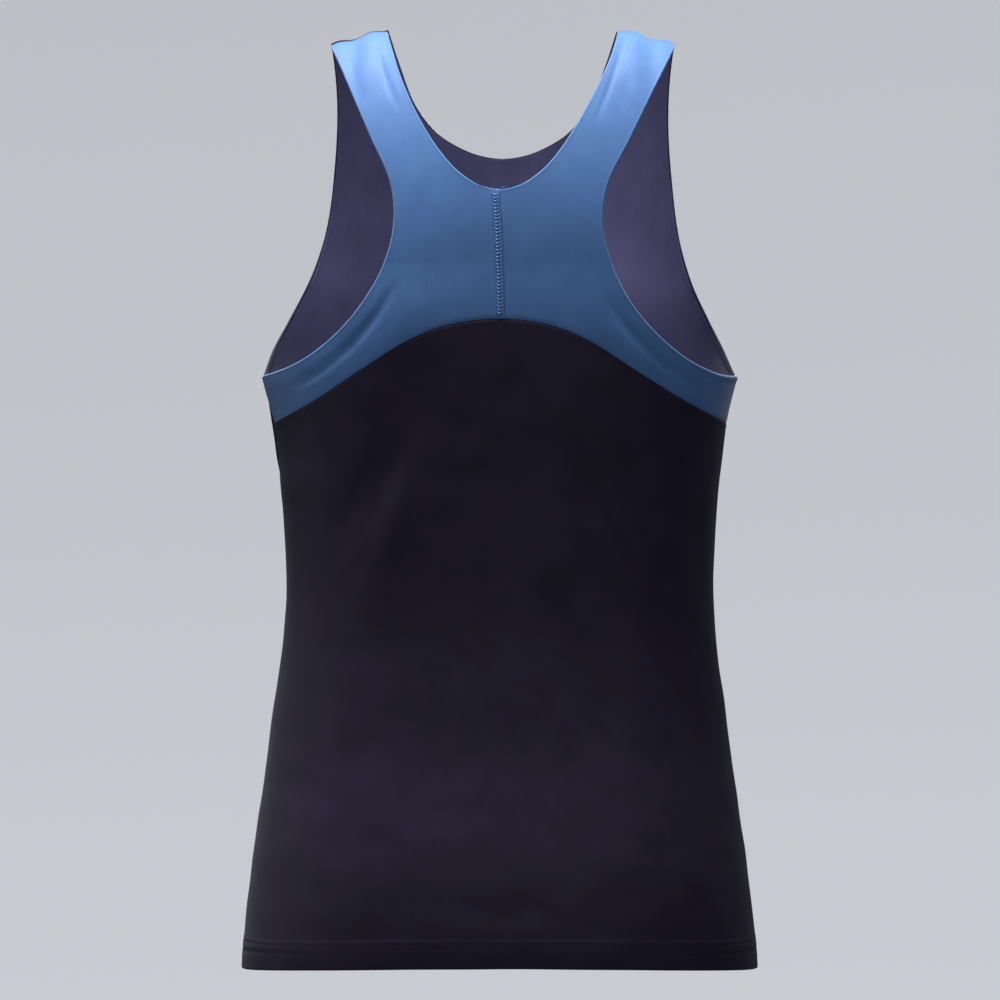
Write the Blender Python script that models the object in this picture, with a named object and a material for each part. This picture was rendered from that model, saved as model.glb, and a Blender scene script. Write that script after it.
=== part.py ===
"""A women's racerback sports tank top, filled out as when it is worn, with nobody in it.

The garment's back faces -Y and its front +Y, +X is the wearer's right and +Z is up. The origin is
midway between the undersides of the two straps, where the wearer's shoulders carry it.

The cloth lies on one form: a torso with rounded sections that rounds over at the shoulders. A place on
the form is a turn, the angle round from the centre line of the back or front towards the side seam, and
a drop, the way down from the shoulder line. Each panel is a grid of such places between its cut edges,
and its wall is that grid given the thickness of its cloth.

Sizes are in millimetres, and the meshes are made in metres.
"""

import math
from collections import namedtuple

import bmesh
import bpy
import numpy as np

MM = 0.001

# The straps and the shoulder line.
STRAP_MIDDLE = 96.0  # from the centre line to the middle of a strap, on the shoulder seam
SHOULDER_SLOPE = math.radians(15.0)
SHOULDER_ROUNDING = 150.0  # how far below the shoulder line the form starts to round over
RIPPLE_HEIGHT = 2.4  # the soft wave across a strap where the shoulder seam gathers it
RIPPLE_LENGTH = 23.0
RIPPLE_LOW = 2.5  # how far outside the strap's middle the wave is lowest

# The cloth.
KNIT = 1.2  # the near-black body knit, one layer
YOKE_KNIT = 2.0  # the blue yoke, two layers turned through along the neckline and armholes
HEM_KNIT = 2.2  # the body knit where the hem is turned up
HEM_DEPTH = 18.0
HEM_STEP = 2.0  # the height over which the hem's second layer ends

# Levels, as drops below the shoulder line.
ARMPIT = 222.0
BAND_END = 253.0  # where the yoke's band ends on the side seam
SIDE_HEM = 613.0
HEM_LIFT = {"back": 6.0, "front": 3.0}  # how much higher the hem is at the centre than at the sides

# Pieces meet with a gap of 0.3 mm, half of it on each side of the seam.
HALF_GAP = 0.15
SIDE_TURN = math.pi / 2 - HALF_GAP / 90.0  # a panel's turn at the side seam, on a form 90 mm deep
CENTRE_TURN = HALF_GAP / 150.0  # a yoke half's turn at the centre seam, on a form 150 mm half wide
SEAM_SHIFT = 0.18  # a little more than half the gap, because the yoke seam runs at a slant
SHOULDER_DROP = 0.2  # a strap's drop at the shoulder seam, where 1 mm of drop is 0.8 mm of cloth

# The form. The back is a little flatter than the front.
ROUNDNESS = {"back": 2.4, "front": 2.25}  # exponents of the sections' rounded outlines
Section = namedtuple("Section", "drop half_width back front")
SECTIONS = [
    Section(150.0, 158.0, 95.0, 104.0),  # shoulder blades
    Section(222.0, 157.2, 94.0, 117.0),  # armpits
    Section(253.0, 149.0, 91.0, 116.0),
    Section(302.0, 144.0, 84.0, 106.0),
    Section(355.0, 140.3, 77.0, 92.0),  # waist
    Section(394.0, 142.0, 77.0, 90.0),
    Section(447.0, 149.6, 83.0, 93.0),
    Section(510.0, 158.6, 98.0, 97.0),
    Section(560.0, 165.2, 107.0, 99.0),  # seat
    Section(613.0, 170.0, 104.0, 98.0),  # hem
]

# Cut edges seen square on: each point is (way out from the centre line, way below the origin).
BACK_NECKLINE = (
    (76.5, -7.5),
    (68.6, 19.5),
    (60.8, 38.0),
    (49.5, 60.0),
    (38.5, 77.0),
    (27.0, 90.0),
    (13.5, 98.8),
    (0.0, 101.8),
)
BACK_ARMHOLE = (
    (114.0, 3.0),
    (100.0, 33.0),
    (84.0, 68.0),
    (69.3, 103.0),
    (68.2, 120.0),
    (74.0, 148.0),
    (85.8, 172.0),
    (108.0, 198.0),
    (137.0, 217.0),
    (157.2, ARMPIT),
)
YOKE_SEAM = (
    (149.0, BAND_END),
    (124.5, 240.7),
    (90.0, 220.4),
    (58.0, 200.7),
    (41.0, 193.0),
    (22.0, 188.3),
    (0.0, 186.4),
)
FRONT_NECKLINE = (
    (76.5, -7.5),
    (69.6, 13.5),
    (57.3, 41.0),
    (42.8, 57.5),
    (31.2, 64.7),
    (17.4, 70.4),
    (0.0, 73.0),
)
FRONT_ARMHOLE = (
    (114.0, 3.0),
    (111.5, 33.0),
    (113.6, 85.0),
    (120.0, 130.0),
    (128.5, 157.0),
    (140.5, 183.0),
    (150.8, 205.0),
    (157.2, ARMPIT),
)

# The largest folds of the lower back: troughs, with a depth above 0, and ridges, from start to end.
Fold = namedtuple("Fold", "start_x start_drop end_x end_drop half_width depth")
FOLDS = [
    Fold(-33.0, 266.0, -84.0, 372.0, 17.0, -1.6),
    Fold(-66.0, 262.0, -112.0, 335.0, 14.0, 1.8),
    Fold(47.0, 266.0, 92.0, 372.0, 16.0, 2.0),
    Fold(68.0, 306.0, 100.0, 378.0, 15.0, -1.4),
    Fold(28.0, 362.0, 86.0, 462.0, 20.0, 1.6),
]

# How finely the panels are divided.
BACK_COLUMNS = 14  # from the centre line to the side seam
FRONT_COLUMNS = 12
YOKE_COLUMNS = 8
NECK_ROWS = 12
CENTRE_SEAM_ROWS = 5
FRONT_CENTRE_ROWS = 9
BAND_ROWS = 4
BODY_ROWS = 15
ARMHOLE_AT_NECK = 0.36  # share of the back armhole's length that faces the neckline
ARMHOLE_AT_SEAM = 0.53  # share that faces the neckline and the centre seam
FRONT_ARMHOLE_AT_NECK = 0.5
NORMAL_STEP = 0.01

KNIT_COLOUR = (0.012, 0.011, 0.018, 1.0)
YOKE_COLOUR = (0.07, 0.145, 0.33, 1.0)


def smooth(knots, values, level_start=False):
    """A smooth function through the values at the knots, which may start level."""
    knots = np.array(knots, float)
    values = np.array(values, float)
    slopes = np.gradient(values, knots, edge_order=2)
    if level_start:
        slopes[0] = 0.0

    def at(place):
        place = np.clip(place, knots[0], knots[-1])
        i = np.clip(np.searchsorted(knots, place) - 1, 0, len(knots) - 2)
        span = knots[i + 1] - knots[i]
        t = (place - knots[i]) / span
        level = values[i] * (1 + 2 * t) * (1 - t) ** 2 + values[i + 1] * t**2 * (3 - 2 * t)
        return level + span * t * (1 - t) * (slopes[i] * (1 - t) - slopes[i + 1] * t)

    return at


SECTION_DROPS = [section.drop for section in SECTIONS]
half_width_at = smooth(SECTION_DROPS, [section.half_width for section in SECTIONS], level_start=True)
depth_at = {
    "back": smooth(SECTION_DROPS, [section.back for section in SECTIONS], level_start=True),
    "front": smooth(SECTION_DROPS, [section.front for section in SECTIONS], level_start=True),
}


def shoulder_height(out):
    """Height of the shoulder line, which slopes outwards and ripples across the strap."""
    from_middle = abs(out) - STRAP_MIDDLE
    wave = (1 - math.cos(2 * math.pi * (from_middle - RIPPLE_LOW) / RIPPLE_LENGTH)) / 2
    ripple = RIPPLE_HEIGHT * wave * math.exp(-((from_middle / RIPPLE_LENGTH) ** 2))
    return YOKE_KNIT - math.tan(SHOULDER_SLOPE) * from_middle + ripple


def fold_depth(x, drop):
    """How far the folds of the lower back press the cloth in at a place."""
    total = 0.0
    for fold in FOLDS:
        run = np.array([fold.end_x - fold.start_x, fold.end_drop - fold.start_drop])
        length = np.linalg.norm(run)
        along, aside = np.array([x - fold.start_x, drop - fold.start_drop]) @ [
            [run[0] / length, run[1] / length],
            [run[1] / length, -run[0] / length],
        ]
        from_middle = 2 * along / length - 1
        total += fold.depth * math.exp(-((aside / fold.half_width) ** 2) - from_middle**4)
    return total


def on_form(side, turn, drop):
    """The point of the form at a turn and a drop."""
    power = ROUNDNESS[side]
    facing = -1.0 if side == "back" else 1.0
    sine, cosine = math.sin(turn), math.cos(turn)
    size = (abs(sine) ** power + abs(cosine) ** power) ** (1 / power)
    level = max(drop, SHOULDER_ROUNDING)
    x = half_width_at(level) * sine / size
    depth = depth_at[side](level) * cosine / size
    if drop >= SHOULDER_ROUNDING:
        if side == "back":
            depth -= fold_depth(x, drop) * cosine
        return np.array([x, facing * depth, -drop])
    lean = math.pi / 2 * (1 - drop / SHOULDER_ROUNDING)
    rise = shoulder_height(x) + SHOULDER_ROUNDING
    return np.array([x, facing * depth * math.cos(lean), rise * math.sin(lean) - SHOULDER_ROUNDING])


def place_of(side, out, below):
    """The place, as (turn, drop), of a point seen square on."""
    drop = below
    if below < SHOULDER_ROUNDING:
        share = (SHOULDER_ROUNDING - below) / (SHOULDER_ROUNDING + shoulder_height(out))
        drop = SHOULDER_ROUNDING * (1 - math.asin(min(1.0, share)) / (math.pi / 2))
    share = min(1.0, abs(out) / half_width_at(max(drop, SHOULDER_ROUNDING)))
    power = ROUNDNESS[side]
    return math.atan2(share, (1 - share**power) ** (1 / power)), drop


def edge(side, points, mirrored=False):
    """A function from a share of an edge's length to its place. A mirrored edge ends level at the centre."""
    knots = np.array(points, float)
    if mirrored:
        knots = np.vstack([knots, knots[-2::-1] * (-1, 1)])
    steps = np.linalg.norm(np.diff(knots, axis=0), axis=1)
    along = np.concatenate([[0.0], np.cumsum(steps)])
    out, below = smooth(along, knots[:, 0]), smooth(along, knots[:, 1])
    fine = np.linspace(0, along[len(points) - 1], 200)
    places = np.array([place_of(side, out(s), below(s)) for s in fine])
    cloth = np.array([on_form(side, *place) for place in places])
    length = np.concatenate([[0.0], np.cumsum(np.linalg.norm(np.diff(cloth, axis=0), axis=1))])
    length /= length[-1]

    def at(share):
        return np.array([np.interp(share, length, places[:, k]) for k in range(2)])

    return at


def stretch(line, first, last, rows):
    """The places along part of an edge, at the ends of that many rows."""
    return [line(share) for share in np.linspace(first, last, rows + 1)]


def ruled(rail, facing_rail, columns):
    """Rows of places that run straight over the cloth from one rail to the other."""
    shares = np.linspace(0, 1, columns + 1)[:, None]
    return [start + (end - start) * shares for start, end in zip(rail, facing_rail)]


def hem_drop(side, turn):
    return SIDE_HEM - HEM_LIFT[side] * math.cos(turn) ** 2


def down_to_hem(side, top_row):
    """Rows of places from a top row down to the hem: even ones, then the hem's step and its fold."""

    def above_hem(turn, height):
        return hem_drop(side, turn) - height

    rows = [
        [(turn, drop + (above_hem(turn, HEM_DEPTH + HEM_STEP) - drop) * share) for turn, drop in top_row]
        for share in np.linspace(0, 1, BODY_ROWS + 1)
    ]
    rows += [[(turn, above_hem(turn, height)) for turn, _ in top_row] for height in (HEM_DEPTH, 0.0)]
    return rows


def flipped(grid):
    """The same grid on the other side of the centre line."""
    return [[(-turn, drop) for turn, drop in row] for row in grid]


def outward(side, turn, drop):
    """The direction that the cloth faces at a place."""
    step = NORMAL_STEP
    across = on_form(side, turn + step, drop) - on_form(side, turn - step, drop)
    down = on_form(side, turn, drop + step) - on_form(side, turn, drop - step)
    normal = np.cross(across, down) * (-1 if side == "back" else 1)
    return normal / np.linalg.norm(normal)


def thickness(side, turn, drop, knit):
    """The cloth's thickness at a place: the hem's turned-up layer lies inside the plain one."""
    if knit == YOKE_KNIT:
        return knit
    into_hem = drop - (hem_drop(side, turn) - HEM_DEPTH - HEM_STEP)
    return knit + (HEM_KNIT - knit) * min(1.0, max(0.0, into_hem / HEM_STEP))


def wall(name, side, grids, knit, material):
    """A cloth panel: outer and inner faces over its grids of places, closed round its edges."""
    mesh = bmesh.new()
    corners = {}

    def corner(turn, drop):
        key = (round(turn, 6), round(drop, 3))
        if key not in corners:
            outer = on_form(side, turn, drop)
            inner = outer - outward(side, turn, drop) * thickness(side, turn, drop, knit)
            corners[key] = mesh.verts.new(outer * MM), mesh.verts.new(inner * MM)
        return corners[key]

    for grid in grids:
        made = [[corner(*place) for place in row] for row in grid]
        for upper, lower in zip(made, made[1:]):
            for a, b, c, d in zip(upper, upper[1:], lower[1:], lower):
                mesh.faces.new((a[0], b[0], c[0], d[0]))
    inner_of = dict(corners.values())
    outer_faces = list(mesh.faces)
    rim_loops = [edge.link_loops[0] for edge in mesh.edges if edge.is_boundary]
    rim = [(loop.vert, loop.link_loop_next.vert) for loop in rim_loops]
    for face in outer_faces:
        mesh.faces.new([inner_of[vertex] for vertex in reversed(face.verts)])
    for start, end in rim:
        mesh.faces.new((end, start, inner_of[start], inner_of[end]))
    bmesh.ops.recalc_face_normals(mesh, faces=mesh.faces)
    data = bpy.data.meshes.new(name)
    mesh.to_mesh(data)
    mesh.free()
    data.shade_smooth()
    data.set_sharp_from_angle(angle=math.radians(40))
    data.materials.append(material)
    panel = bpy.data.objects.new(name, data)
    bpy.context.scene.collection.objects.link(panel)
    return panel


def cloth(name, colour, roughness):
    material = bpy.data.materials.new(name)
    material.use_nodes = True
    shader = material.node_tree.nodes["Principled BSDF"]
    shader.inputs["Base Color"].default_value = colour
    shader.inputs["Roughness"].default_value = roughness
    shader.inputs["Metallic"].default_value = 0.0
    return material


def yoke_grid():
    """Half of the yoke: its rows run from the neckline, centre seam and yoke seam out to the armhole."""
    neckline = edge("back", BACK_NECKLINE, mirrored=True)
    armhole = edge("back", BACK_ARMHOLE)
    seam = edge("back", YOKE_SEAM, mirrored=True)
    centre = np.linspace(neckline(1), seam(1) - (0, SEAM_SHIFT), CENTRE_SEAM_ROWS + 1)
    inner = stretch(neckline, 0, 1, NECK_ROWS)[:-1] + list(centre)
    inner += [place - (0, SEAM_SHIFT) for place in stretch(seam, 1, 0, BACK_COLUMNS)[1:]]
    outer = stretch(armhole, 0, ARMHOLE_AT_NECK, NECK_ROWS)[:-1]
    outer += stretch(armhole, ARMHOLE_AT_NECK, ARMHOLE_AT_SEAM, CENTRE_SEAM_ROWS)
    outer += stretch(armhole, ARMHOLE_AT_SEAM, 1, BACK_COLUMNS)[1:]
    inner[0][1] = outer[0][1] = SHOULDER_DROP
    grid = ruled(inner, outer, YOKE_COLUMNS)
    return [[(min(max(turn, CENTRE_TURN), SIDE_TURN), drop) for turn, drop in row] for row in grid]


def back_lower_grid():
    """The lower back, from the arched yoke seam to the hem."""
    seam = edge("back", YOKE_SEAM, mirrored=True)
    half = [place + (0, SEAM_SHIFT) for place in stretch(seam, 1, 0, BACK_COLUMNS)]
    half = [(min(turn, SIDE_TURN), drop) for turn, drop in half]
    top_row = [(-turn, drop) for turn, drop in half[:0:-1]] + half
    return down_to_hem("back", top_row)


def front_grids():
    """The front: two upper halves with the straps, and the body below the armpits."""
    neckline = edge("front", FRONT_NECKLINE, mirrored=True)
    armhole = edge("front", FRONT_ARMHOLE)
    centre = np.linspace(neckline(1), (0.0, ARMPIT), FRONT_CENTRE_ROWS + 1)
    inner = stretch(neckline, 0, 1, NECK_ROWS)[:-1] + list(centre)
    outer = stretch(armhole, 0, FRONT_ARMHOLE_AT_NECK, NECK_ROWS)[:-1]
    outer += stretch(armhole, FRONT_ARMHOLE_AT_NECK, 1, FRONT_CENTRE_ROWS)
    inner[0][1] = outer[0][1] = SHOULDER_DROP
    outer[-1] = np.array([SIDE_TURN, ARMPIT])
    upper = ruled(inner, outer, FRONT_COLUMNS)
    turns = [-turn for turn, _ in upper[-1][:0:-1]] + [turn for turn, _ in upper[-1]]
    band = [[(turn, drop) for turn in turns] for drop in np.linspace(ARMPIT, BAND_END, BAND_ROWS + 1)]
    return [upper, flipped(upper), band, down_to_hem("front", band[-1])]


for existing in list(bpy.data.objects):
    bpy.data.objects.remove(existing)

body_knit = cloth("near_black_knit", KNIT_COLOUR, 0.55)
yoke_knit = cloth("blue_knit", YOKE_COLOUR, 0.45)
wall("yoke_right", "back", [yoke_grid()], YOKE_KNIT, yoke_knit)
wall("yoke_left", "back", [flipped(yoke_grid())], YOKE_KNIT, yoke_knit)
wall("back_lower", "back", [back_lower_grid()], KNIT, body_knit)
wall("front", "front", front_grids(), KNIT, body_knit)
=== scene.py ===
import math
from collections import namedtuple

import bpy
import numpy as np
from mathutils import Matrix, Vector
from mathutils.kdtree import KDTree


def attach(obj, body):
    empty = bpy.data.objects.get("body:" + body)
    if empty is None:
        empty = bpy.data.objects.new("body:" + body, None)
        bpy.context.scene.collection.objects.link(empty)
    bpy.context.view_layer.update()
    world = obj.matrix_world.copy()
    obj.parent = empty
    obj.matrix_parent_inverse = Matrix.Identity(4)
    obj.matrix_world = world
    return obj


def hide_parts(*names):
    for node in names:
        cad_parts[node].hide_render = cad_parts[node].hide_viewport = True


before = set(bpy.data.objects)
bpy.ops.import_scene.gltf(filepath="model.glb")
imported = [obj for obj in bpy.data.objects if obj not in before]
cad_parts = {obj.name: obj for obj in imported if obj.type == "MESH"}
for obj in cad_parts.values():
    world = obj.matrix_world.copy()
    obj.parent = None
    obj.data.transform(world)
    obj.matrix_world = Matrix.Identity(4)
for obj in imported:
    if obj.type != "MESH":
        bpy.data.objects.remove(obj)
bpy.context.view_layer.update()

# The camera stands level behind the garment, 4.5 m from its side seams, and looks at its back.
# One pixel there is 0.662 mm, so the view is 662 mm wide.
CAMERA_DISTANCE = 4.5
VIEW_WIDTH = 0.662
VIEW_MIDDLE = (0.00033, -0.30384)
bpy.ops.object.camera_add(
    location=(VIEW_MIDDLE[0], -CAMERA_DISTANCE, VIEW_MIDDLE[1]), rotation=(math.pi / 2, 0, 0)
)
camera = bpy.context.object
camera.data.sensor_width = 36.0
camera.data.lens = camera.data.sensor_width * CAMERA_DISTANCE / VIEW_WIDTH
camera.data.clip_end = 60.0
bpy.context.scene.camera = camera
bpy.context.scene.view_settings.view_transform = "Standard"

# The studio: a pale floor that glows by itself and sweeps up all round into the backdrop. It throws no light
# on the cloth, which keeps its dark folds. A large soft light stands almost overhead, weaker ones at the
# right, the left and the camera, one behind the garment, and a very small one inside it.
FLOOR_HEIGHT = -1.1
FLOOR_FLAT = 4.5
FLOOR_RISE = 0.13
bpy.ops.mesh.primitive_grid_add(
    x_subdivisions=90, y_subdivisions=90, size=18.0, location=(0, 0, FLOOR_HEIGHT)
)
floor = bpy.context.object
floor.name = "studio_floor"
for corner in floor.data.vertices:
    corner.co.z = FLOOR_RISE * max(0.0, corner.co.xy.length - FLOOR_FLAT) ** 2
bpy.ops.object.shade_smooth()
paint = bpy.data.materials.new("pale_paint")
paint.use_nodes = True
paint_shader = paint.node_tree.nodes["Principled BSDF"]
paint_shader.inputs["Base Color"].default_value = (0.6, 0.61, 0.63, 1)
paint_shader.inputs["Roughness"].default_value = 0.95
paint_shader.inputs["Specular IOR Level"].default_value = 0.0
paint_shader.inputs["Emission Color"].default_value = (0.8, 0.83, 0.88, 1)
paint_shader.inputs["Emission Strength"].default_value = 0.55
paint.cycles.emission_sampling = "NONE"
floor.data.materials.append(paint)
floor.visible_diffuse = False
floor.visible_glossy = False

Softbox = namedtuple("Softbox", "name place aim size power")
SOFTBOXES = [
    Softbox("top_light", (-0.34, -0.14, 2.28), (0, 0, -0.3), 0.9, 172.0),
    Softbox("top_right_light", (0.9, -0.3, 2.1), (0, 0, -0.3), 0.9, 16.0),
    Softbox("left_light", (-2.6, -0.3, -0.3), (0, 0, -0.4), 1.2, 8.0),
    Softbox("low_left_light", (-1.8, -1.2, -1.0), (0, 0, -0.4), 1.0, 5.0),
    Softbox("camera_light", (0.6, -3.0, -0.9), (0, 0, -0.4), 1.5, 23.0),
    Softbox("far_light", (0.1, 3.0, 0.2), (0, 0, -0.35), 0.6, 48.0),
    Softbox("inner_light", (0.03, -0.03, -0.17), (-0.08, 0.1, -0.14), 0.12, 0.075),
]
for softbox in SOFTBOXES:
    ray = Vector(softbox.aim) - Vector(softbox.place)
    bpy.ops.object.light_add(
        type="AREA", location=softbox.place, rotation=ray.to_track_quat("-Z", "Y").to_euler()
    )
    light = bpy.context.object
    light.name = softbox.name
    light.data.size = softbox.size
    light.data.energy = softbox.power
    light.visible_camera = False
world = bpy.data.worlds.new("studio_air")
world.use_nodes = True
bpy.context.scene.world = world
air = world.node_tree.nodes["Background"]
air.inputs["Color"].default_value = (0.75, 0.87, 1.0, 1)
air.inputs["Strength"].default_value = 0.07


# The front: near-black fine jersey, cut in one with both shoulder straps. Its neckline and armholes are
# turned in to a narrow roll, and its hem is turned up and caught by two rows of cover stitch.
# Sizes are in millimetres. A place on the garment's form is a turn, the angle round from the centre line
# towards the side seam, and a drop, the way down from the shoulder line.
MM = 0.001
STRAP_MIDDLE = 96.0
SHOULDER_SLOPE = math.radians(15.0)
SHOULDER_ROUNDING = 150.0
STRAP_UNDERSIDE = 2.0
SHOULDER_GAIN = 0.3  # how much more cloth than drop there is over the shoulder, as a share
RIPPLE_HEIGHT = 2.4
RIPPLE_LENGTH = 23.0
RIPPLE_LOW = 2.5
ARMPIT = 222.0
BAND_END = 253.0
SIDE_HEM = 613.0
SIDE_RADIUS = 95.0  # about how far the cloth runs round for each radian of turn at the side
HEM_LIFT = {"back": 6.0, "front": 3.0}
HEM_DEPTH = 18.0
HEM_ROWS = (17.4, 11.8)  # the heights of the hem's two rows of stitches
HEM_RISE = 0.13
HEM_EDGE = 1.2  # over how much of its height the hem grows to its full thickness
ROUNDNESS = {"back": 2.4, "front": 2.25}
Section = namedtuple("Section", "drop half_width back front")
SECTIONS = [
    Section(150.0, 158.0, 95.0, 104.0),
    Section(222.0, 157.2, 94.0, 117.0),
    Section(253.0, 149.0, 91.0, 116.0),
    Section(302.0, 144.0, 84.0, 106.0),
    Section(355.0, 140.3, 77.0, 92.0),
    Section(394.0, 142.0, 77.0, 90.0),
    Section(447.0, 149.6, 83.0, 93.0),
    Section(510.0, 158.6, 98.0, 97.0),
    Section(560.0, 165.2, 107.0, 99.0),
    Section(613.0, 170.0, 104.0, 98.0),
]
FRONT_NECKLINE = (
    (75.6, -7.5), (68.6, 13.5), (57.0, 41.0), (42.8, 57.5), (31.2, 64.7), (17.4, 70.4), (0.0, 73.0),
)
FRONT_ARMHOLES = {
    "right": (
        (114.0, 3.0), (111.5, 33.0), (113.6, 85.0), (120.4, 130.0), (128.8, 157.0), (140.5, 183.0),
        (150.8, 205.0), (157.2, ARMPIT),
    ),
    "left": (
        (113.7, 3.0), (111.2, 33.0), (113.6, 85.0), (120.0, 130.0), (128.5, 157.0), (141.3, 183.0),
        (152.2, 205.0), (157.2, ARMPIT),
    ),
}
HANDS = {"right": 1, "left": -1}
# The worn top has slid a little to the right: its front down to the chest, its back only at the straps.
SLID = 2.1
SLID_DOWN_TO = {"back": (40.0, 100.0), "front": (110.0, 170.0)}
RIGHT_FLARE = 1.7  # how far the right side stands out just under the yoke
RIGHT_FLARE_DROP = 266.0
RIGHT_FLARE_REACH = 24.0
# The largest folds of the lower back, which the form itself has.
Fold = namedtuple("Fold", "start_x start_drop end_x end_drop half_width depth")
FOLDS = [
    Fold(-33.0, 266.0, -84.0, 372.0, 17.0, -1.6),
    Fold(-66.0, 262.0, -112.0, 335.0, 14.0, 1.8),
    Fold(47.0, 266.0, 92.0, 372.0, 16.0, 2.0),
    Fold(68.0, 306.0, 100.0, 378.0, 15.0, -1.4),
    Fold(28.0, 362.0, 86.0, 462.0, 20.0, 1.6),
]


def smooth(knots, values, level_start=False):
    knots = np.array(knots, float)
    values = np.array(values, float)
    slopes = np.gradient(values, knots, edge_order=2)
    if level_start:
        slopes[0] = 0.0

    def at(place):
        place = np.clip(place, knots[0], knots[-1])
        i = np.clip(np.searchsorted(knots, place) - 1, 0, len(knots) - 2)
        span = knots[i + 1] - knots[i]
        t = (place - knots[i]) / span
        level = values[i] * (1 + 2 * t) * (1 - t) ** 2 + values[i + 1] * t**2 * (3 - 2 * t)
        return level + span * t * (1 - t) * (slopes[i] * (1 - t) - slopes[i + 1] * t)

    return at


SECTION_DROPS = [section.drop for section in SECTIONS]
half_width_at = smooth(SECTION_DROPS, [section.half_width for section in SECTIONS], level_start=True)
depth_at = {
    "back": smooth(SECTION_DROPS, [section.back for section in SECTIONS], level_start=True),
    "front": smooth(SECTION_DROPS, [section.front for section in SECTIONS], level_start=True),
}


def shoulder_height(out):
    from_middle = np.abs(out) - STRAP_MIDDLE
    wave = (1 - np.cos(2 * math.pi * (from_middle - RIPPLE_LOW) / RIPPLE_LENGTH)) / 2
    ripple = RIPPLE_HEIGHT * wave * np.exp(-((from_middle / RIPPLE_LENGTH) ** 2))
    return STRAP_UNDERSIDE - math.tan(SHOULDER_SLOPE) * from_middle + ripple


def fold_depth(x, drop):
    total = 0.0
    for fold in FOLDS:
        run = np.array([fold.end_x - fold.start_x, fold.end_drop - fold.start_drop])
        length = np.linalg.norm(run)
        along = ((x - fold.start_x) * run[0] + (drop - fold.start_drop) * run[1]) / length
        aside = ((x - fold.start_x) * run[1] - (drop - fold.start_drop) * run[0]) / length
        from_middle = 2 * along / length - 1
        total = total + fold.depth * np.exp(-((aside / fold.half_width) ** 2) - from_middle**4)
    return total


def on_form(side, turn, drop):
    """The points of the form at arrays of turns and drops."""
    power = ROUNDNESS[side]
    facing = -1.0 if side == "back" else 1.0
    sine, cosine = np.sin(turn), np.cos(turn)
    size = (np.abs(sine) ** power + np.abs(cosine) ** power) ** (1 / power)
    level = np.maximum(drop, SHOULDER_ROUNDING)
    x = half_width_at(level) * sine / size
    depth = depth_at[side](level) * cosine / size
    below = drop >= SHOULDER_ROUNDING
    if side == "back":
        depth = depth - np.where(below, fold_depth(x, drop) * cosine, 0.0)
    lean = math.pi / 2 * np.maximum(0.0, 1 - drop / SHOULDER_ROUNDING)
    rise = (shoulder_height(x) + SHOULDER_ROUNDING) * np.sin(lean) - SHOULDER_ROUNDING
    still, fixed = SLID_DOWN_TO[side]
    held = np.clip((drop - still) / (fixed - still), 0, 1)
    x = x + SLID * (1 - held**2 * (3 - 2 * held))
    flare = np.exp(-(((drop - RIGHT_FLARE_DROP) / RIGHT_FLARE_REACH) ** 2))
    x = x + RIGHT_FLARE * flare * np.clip(sine, 0, 1) ** 4
    return np.stack([x, facing * depth * np.cos(lean), np.where(below, -drop, rise)], -1)


def outward(side, turn, drop, step=0.02):
    """The directions that the cloth faces at arrays of turns and drops."""
    across = on_form(side, turn + step, drop) - on_form(side, turn - step, drop)
    down = on_form(side, turn, drop + step) - on_form(side, turn, drop - step)
    normal = np.cross(across, down) * (-1 if side == "back" else 1)
    return normal / np.linalg.norm(normal, axis=-1, keepdims=True)


def place_of(side, out, below):
    """The places of points seen square on."""
    share = (SHOULDER_ROUNDING - below) / (SHOULDER_ROUNDING + shoulder_height(out))
    drop = SHOULDER_ROUNDING * (1 - np.arcsin(np.clip(share, 0.0, 1.0)) / (math.pi / 2))
    drop = np.where(below < SHOULDER_ROUNDING, drop, below)
    power = ROUNDNESS[side]
    share = np.minimum(1.0, np.abs(out) / half_width_at(np.maximum(drop, SHOULDER_ROUNDING)))
    return np.stack([np.arctan2(share, (1 - share**power) ** (1 / power)), drop], -1)


def edge(side, points, mirrored=False):
    """The places at shares of a cut edge's length. A mirrored edge ends level at the centre line."""
    knots = np.array(points, float)
    if mirrored:
        knots = np.vstack([knots, knots[-2::-1] * (-1, 1)])
    steps = np.linalg.norm(np.diff(knots, axis=0), axis=1)
    along = np.concatenate([[0.0], np.cumsum(steps)])
    fine = np.linspace(0, along[len(points) - 1], 600)
    places = place_of(side, smooth(along, knots[:, 0])(fine), smooth(along, knots[:, 1])(fine))
    cloth = on_form(side, places[:, 0], places[:, 1])
    length = np.concatenate([[0.0], np.cumsum(np.linalg.norm(np.diff(cloth, axis=0), axis=1))])
    length /= length[-1]
    return lambda shares: np.stack([np.interp(shares, length, places[:, k]) for k in range(2)], -1)


def crowded(count, at_start, at_end=0.0):
    """Shares from 0 to 1 that lie closer together at the start, at the end or at both."""
    t = np.linspace(0, 1, count + 1)
    if at_start and at_end:
        return t - at_start * np.sin(2 * math.pi * t) / (2 * math.pi)
    return t - (at_start - at_end) * np.sin(math.pi * t) / math.pi


def ruled(rail, facing_rail, shares):
    """Rows of places that run straight over the cloth from one rail to the other."""
    return rail[:, None] + (facing_rail - rail)[:, None] * shares[None, :, None]


def hem_drop(side, turn):
    return SIDE_HEM - HEM_LIFT[side] * np.cos(turn) ** 2


def hem_stretch(turn):
    """How much higher than in the middle the turned-up hem and its stitches stand."""
    return 1 + HEM_RISE * np.sin(turn) ** 12


HEM_LINES = np.array([21.0, 20, 19.2, 18.6, 18, 17.4, 16.8, 15.8, 14.6, 13.4, 12.6, 12, 11.4, 10.6, 9, 7, 5])
HEM_FOLD_LINES = np.array([3.2, 2.0, 1.3, 0.8, 0.45, 0.2, 0.0])


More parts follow.
